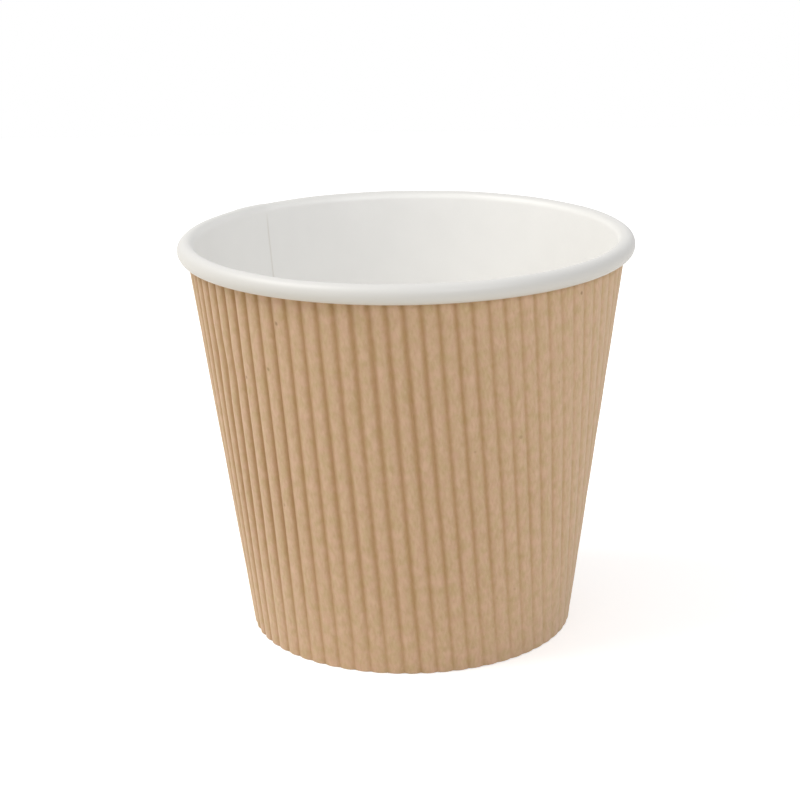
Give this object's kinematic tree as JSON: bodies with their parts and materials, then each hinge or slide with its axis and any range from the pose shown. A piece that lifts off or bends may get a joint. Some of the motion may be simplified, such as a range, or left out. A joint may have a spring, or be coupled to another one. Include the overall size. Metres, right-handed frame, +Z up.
{
  "type": "paper soup cup",
  "caption": "Conical paper soup cup with a rolled rim, a recessed base and a fluted kraft wrap round its white board wall.",
  "frame": {"origin": "on the cup's axis, at the table that the foot stands on", "axes": "+Z up along the cup's axis, out of its mouth; the side that the picture shows faces -Y; +X to the right in it"},
  "size_m": [0.09, 0.09, 0.08],
  "materials": {
    "white_board": "smooth coated white board with a soft sheen",
    "base_board": "smooth coated white board with a soft sheen",
    "kraft_paper": "matt unbleached kraft paper, fluted"
  },
  "bodies": {
    "root": {"cup_wall": "white_board", "base_disc": "base_board", "ripple_wrap": "kraft_paper"}
  },
  "joints": []
}
